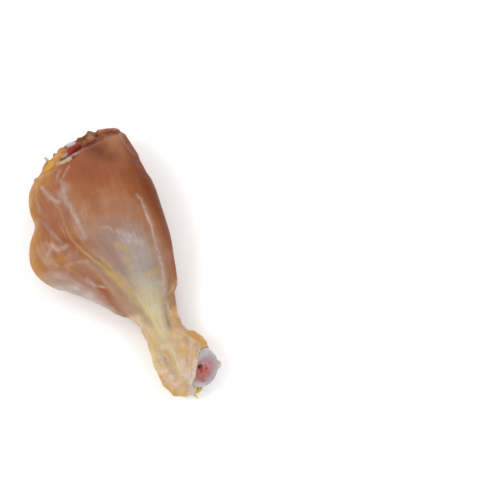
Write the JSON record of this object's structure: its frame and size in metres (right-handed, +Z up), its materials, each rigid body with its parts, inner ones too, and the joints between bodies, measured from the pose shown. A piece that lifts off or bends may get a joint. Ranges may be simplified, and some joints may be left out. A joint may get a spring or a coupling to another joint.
{
  "type": "raw skinless chicken drumstick",
  "caption": "Raw chicken drumstick without its skin, lying on its side: a fat muscle belly that narrows to a tendon, with the bone's knob showing at the hock and its head at the knee.",
  "frame": {"origin": "middle of the leg's box, on the surface that it lies on", "axes": "+X along the leg from the knee to the hock, +Y towards the shin side, +Z up"},
  "size_m": [0.1285, 0.0656, 0.0407],
  "materials": {
    "muscle": "wet raw muscle, tan to brown-pink, with silvery film and cream tendon",
    "bone": "wet red marrow bone where the knife has cut it",
    "cartilage": "wet bluish-white gristle",
    "fat": "soft yellow fat with an oily gloss",
    "tendon": "wet cream sinew and torn tissue"
  },
  "bodies": {
    "root": {"leg_meat": "muscle", "shin_bone": "bone", "hock_cartilage": "cartilage", "knee_cartilage": "cartilage"}
  },
  "joints": []
}
